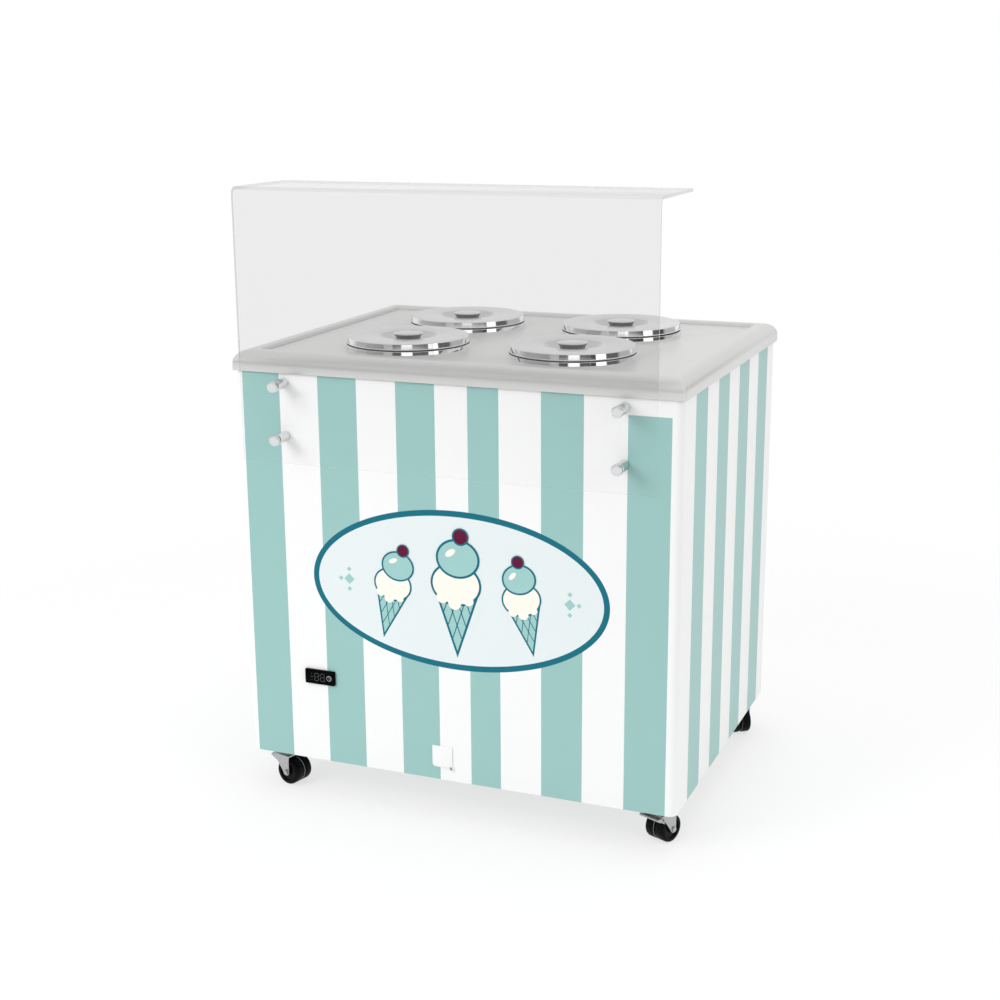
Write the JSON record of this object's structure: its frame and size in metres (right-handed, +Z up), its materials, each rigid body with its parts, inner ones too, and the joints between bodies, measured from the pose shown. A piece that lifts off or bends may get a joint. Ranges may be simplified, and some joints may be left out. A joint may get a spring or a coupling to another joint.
{
  "type": "gelato display cabinet",
  "caption": "Wheeled gelato cabinet: round lidded wells in a steel worktop, white striped body, and a clear bent guard on stand-offs across the front.",
  "frame": {"origin": "on the floor, under the middle of the overall box", "axes": "+X to the right and +Y to the back when facing the front panel, +Z up"},
  "size_m": [0.91, 0.753, 1.223],
  "materials": {
    "stainless": "brushed stainless sheet",
    "polished_steel": "polished stainless",
    "white_enamel": "white enamel on steel sheet, with pale teal stripes",
    "galvanised": "galvanised sheet",
    "zinc": "zinc-plated pressings",
    "clear_acrylic": "clear bent acrylic",
    "turned_aluminium": "turned and polished aluminium",
    "foam": "poured polyurethane foam",
    "black_rubber": "moulded rubber",
    "black_enamel": "semi-gloss black enamel",
    "fin_aluminium": "aluminium fins",
    "copper": "copper tube",
    "black_plastic": "fine-textured black moulding",
    "display_lens": "smoked clear window",
    "grey_plastic": "grey moulding",
    "white_plastic": "white moulding",
    "wheel_rubber": "black tread on a moulded core"
  },
  "bodies": {
    "cabinet": {"base_tray": "galvanised", "corner_posts": "white_enamel", "front_panel": "white_enamel", "left_side_panel": "white_enamel", "right_side_panel": "white_enamel", "rear_panel": "white_enamel", "worktop": "stainless", "insulation_foam": "foam", "deck_plate": "galvanised", "deck_brackets": "galvanised", "well_liners": "stainless", "well_gaskets": "black_rubber", "evaporator_jackets": "copper", "compressor": "black_enamel", "compressor_mounts": "black_rubber", "condenser": "fin_aluminium", "fan_shroud": "galvanised", "fan_motor": "black_enamel", "filter_drier": "copper", "refrigerant_pipes": "copper", "drain_pipe": "white_plastic", "drain_cover_pin": "zinc", "thermostat_case": "black_plastic", "thermostat_lens": "display_lens", "guard_sheet": "clear_acrylic", "standoff_barrels": "turned_aluminium", "standoff_caps": "turned_aluminium", "power_inlet": "black_plastic", "rear_panel_screws": "zinc", "caster_plates": "zinc", "caster_bolts": "zinc"},
    "tub_front_left": {"tub_front_left": "stainless"},
    "lid_front_left": {"lid_front_left": "stainless", "lid_knob_front_left": "polished_steel"},
    "tub_front_right": {"tub_front_right": "stainless"},
    "lid_front_right": {"lid_front_right": "stainless", "lid_knob_front_right": "polished_steel"},
    "tub_rear_left": {"tub_rear_left": "stainless"},
    "lid_rear_left": {"lid_rear_left": "stainless", "lid_knob_rear_left": "polished_steel"},
    "tub_rear_right": {"tub_rear_right": "stainless"},
    "lid_rear_right": {"lid_rear_right": "stainless", "lid_knob_rear_right": "polished_steel"},
    "fork_front_left": {"caster_fork_front_left": "zinc", "caster_axle_front_left": "zinc"},
    "wheel_front_left": {"caster_wheel_front_left": "wheel_rubber"},
    "pedal_front_left": {"brake_pedal_front_left": "zinc"},
    "fork_front_right": {"caster_fork_front_right": "zinc", "caster_axle_front_right": "zinc"},
    "wheel_front_right": {"caster_wheel_front_right": "wheel_rubber"},
    "pedal_front_right": {"brake_pedal_front_right": "zinc"},
    "fork_rear_left": {"caster_fork_rear_left": "zinc", "caster_axle_rear_left": "zinc"},
    "wheel_rear_left": {"caster_wheel_rear_left": "wheel_rubber"},
    "fork_rear_right": {"caster_fork_rear_right": "zinc", "caster_axle_rear_right": "zinc"},
    "wheel_rear_right": {"caster_wheel_rear_right": "wheel_rubber"},
    "fan": {"fan_blade": "black_plastic"},
    "button": {"thermostat_button": "grey_plastic"},
    "drain_cover": {"drain_cover": "white_plastic"}
  },
  "joints": [
    {"name": "tub_lift_front_left", "type": "slide", "parent": "cabinet", "child": "tub_front_left", "axis": [0, 0, 1], "range_m": [0, 0.15]},
    {"name": "lid_lift_front_left", "type": "slide", "parent": "tub_front_left", "child": "lid_front_left", "axis": [0, 0, 1], "range_m": [0, 0.12]},
    {"name": "tub_lift_front_right", "type": "slide", "parent": "cabinet", "child": "tub_front_right", "axis": [0, 0, 1], "range_m": [0, 0.15]},
    {"name": "lid_lift_front_right", "type": "slide", "parent": "tub_front_right", "child": "lid_front_right", "axis": [0, 0, 1], "range_m": [0, 0.12]},
    {"name": "tub_lift_rear_left", "type": "slide", "parent": "cabinet", "child": "tub_rear_left", "axis": [0, 0, 1], "range_m": [0, 0.28]},
    {"name": "lid_lift_rear_left", "type": "slide", "parent": "tub_rear_left", "child": "lid_rear_left", "axis": [0, 0, 1], "range_m": [0, 0.12]},
    {"name": "tub_lift_rear_right", "type": "slide", "parent": "cabinet", "child": "tub_rear_right", "axis": [0, 0, 1], "range_m": [0, 0.28]},
    {"name": "lid_lift_rear_right", "type": "slide", "parent": "tub_rear_right", "child": "lid_rear_right", "axis": [0, 0, 1], "range_m": [0, 0.12]},
    {"name": "swivel_front_left", "type": "hinge", "parent": "cabinet", "child": "fork_front_left", "pos_m": [-0.4, -0.2785, 0.0622], "axis": [0, 0, 1], "continuous": true},
    {"name": "wheel_spin_front_left", "type": "hinge", "parent": "fork_front_left", "child": "wheel_front_left", "pos_m": [-0.38059, -0.28334, 0.0275], "axis": [0.2419, 0.9703, 0], "continuous": true},
    {"name": "brake_pedal_front_left", "type": "hinge", "parent": "fork_front_left", "child": "pedal_front_left", "pos_m": [-0.40582, -0.27705, 0.052], "axis": [-0.2419, -0.9703, 0], "range_deg": [0, 18]},
    {"name": "swivel_front_right", "type": "hinge", "parent": "cabinet", "child": "fork_front_right", "pos_m": [0.4, -0.2785, 0.0622], "axis": [0, 0, 1], "continuous": true},
    {"name": "wheel_spin_front_right", "type": "hinge", "parent": "fork_front_right", "child": "wheel_front_right", "pos_m": [0.40781, -0.26009, 0.0275], "axis": [-0.9205, 0.3907, 0], "continuous": true},
    {"name": "brake_pedal_front_right", "type": "hinge", "parent": "fork_front_right", "child": "pedal_front_right", "pos_m": [0.39766, -0.28402, 0.052], "axis": [0.9205, -0.3907, 0], "range_deg": [0, 18]},
    {"name": "swivel_rear_left", "type": "hinge", "parent": "cabinet", "child": "fork_rear_left", "pos_m": [-0.4, 0.3215, 0.0622], "axis": [0, 0, 1], "continuous": true},
    {"name": "wheel_spin_rear_left", "type": "hinge", "parent": "fork_rear_left", "child": "wheel_rear_left", "pos_m": [-0.38121, 0.32834, 0.0275], "axis": [-0.342, 0.9397, 0], "continuous": true},
    {"name": "swivel_rear_right", "type": "hinge", "parent": "cabinet", "child": "fork_rear_right", "pos_m": [0.4, 0.3215, 0.0622], "axis": [0, 0, 1], "continuous": true},
    {"name": "wheel_spin_rear_right", "type": "hinge", "parent": "fork_rear_right", "child": "wheel_rear_right", "pos_m": [0.41147, 0.30512, 0.0275], "axis": [0.8192, 0.5736, 0], "continuous": true},
    {"name": "fan_spin", "type": "hinge", "parent": "cabinet", "child": "fan", "pos_m": [0.2, 0.2715, 0.232], "axis": [0, 1, 0], "continuous": true},
    {"name": "thermostat_press", "type": "slide", "parent": "cabinet", "child": "button", "axis": [0, 1, 0], "range_m": [0, 0.001], "stiffness_N_per_m": 400},
    {"name": "drain_cover_swing", "type": "hinge", "parent": "cabinet", "child": "drain_cover", "pos_m": [-0.003, -0.33015, 0.107], "axis": [0, 1, 0], "range_deg": [0, 90]}
  ]
}
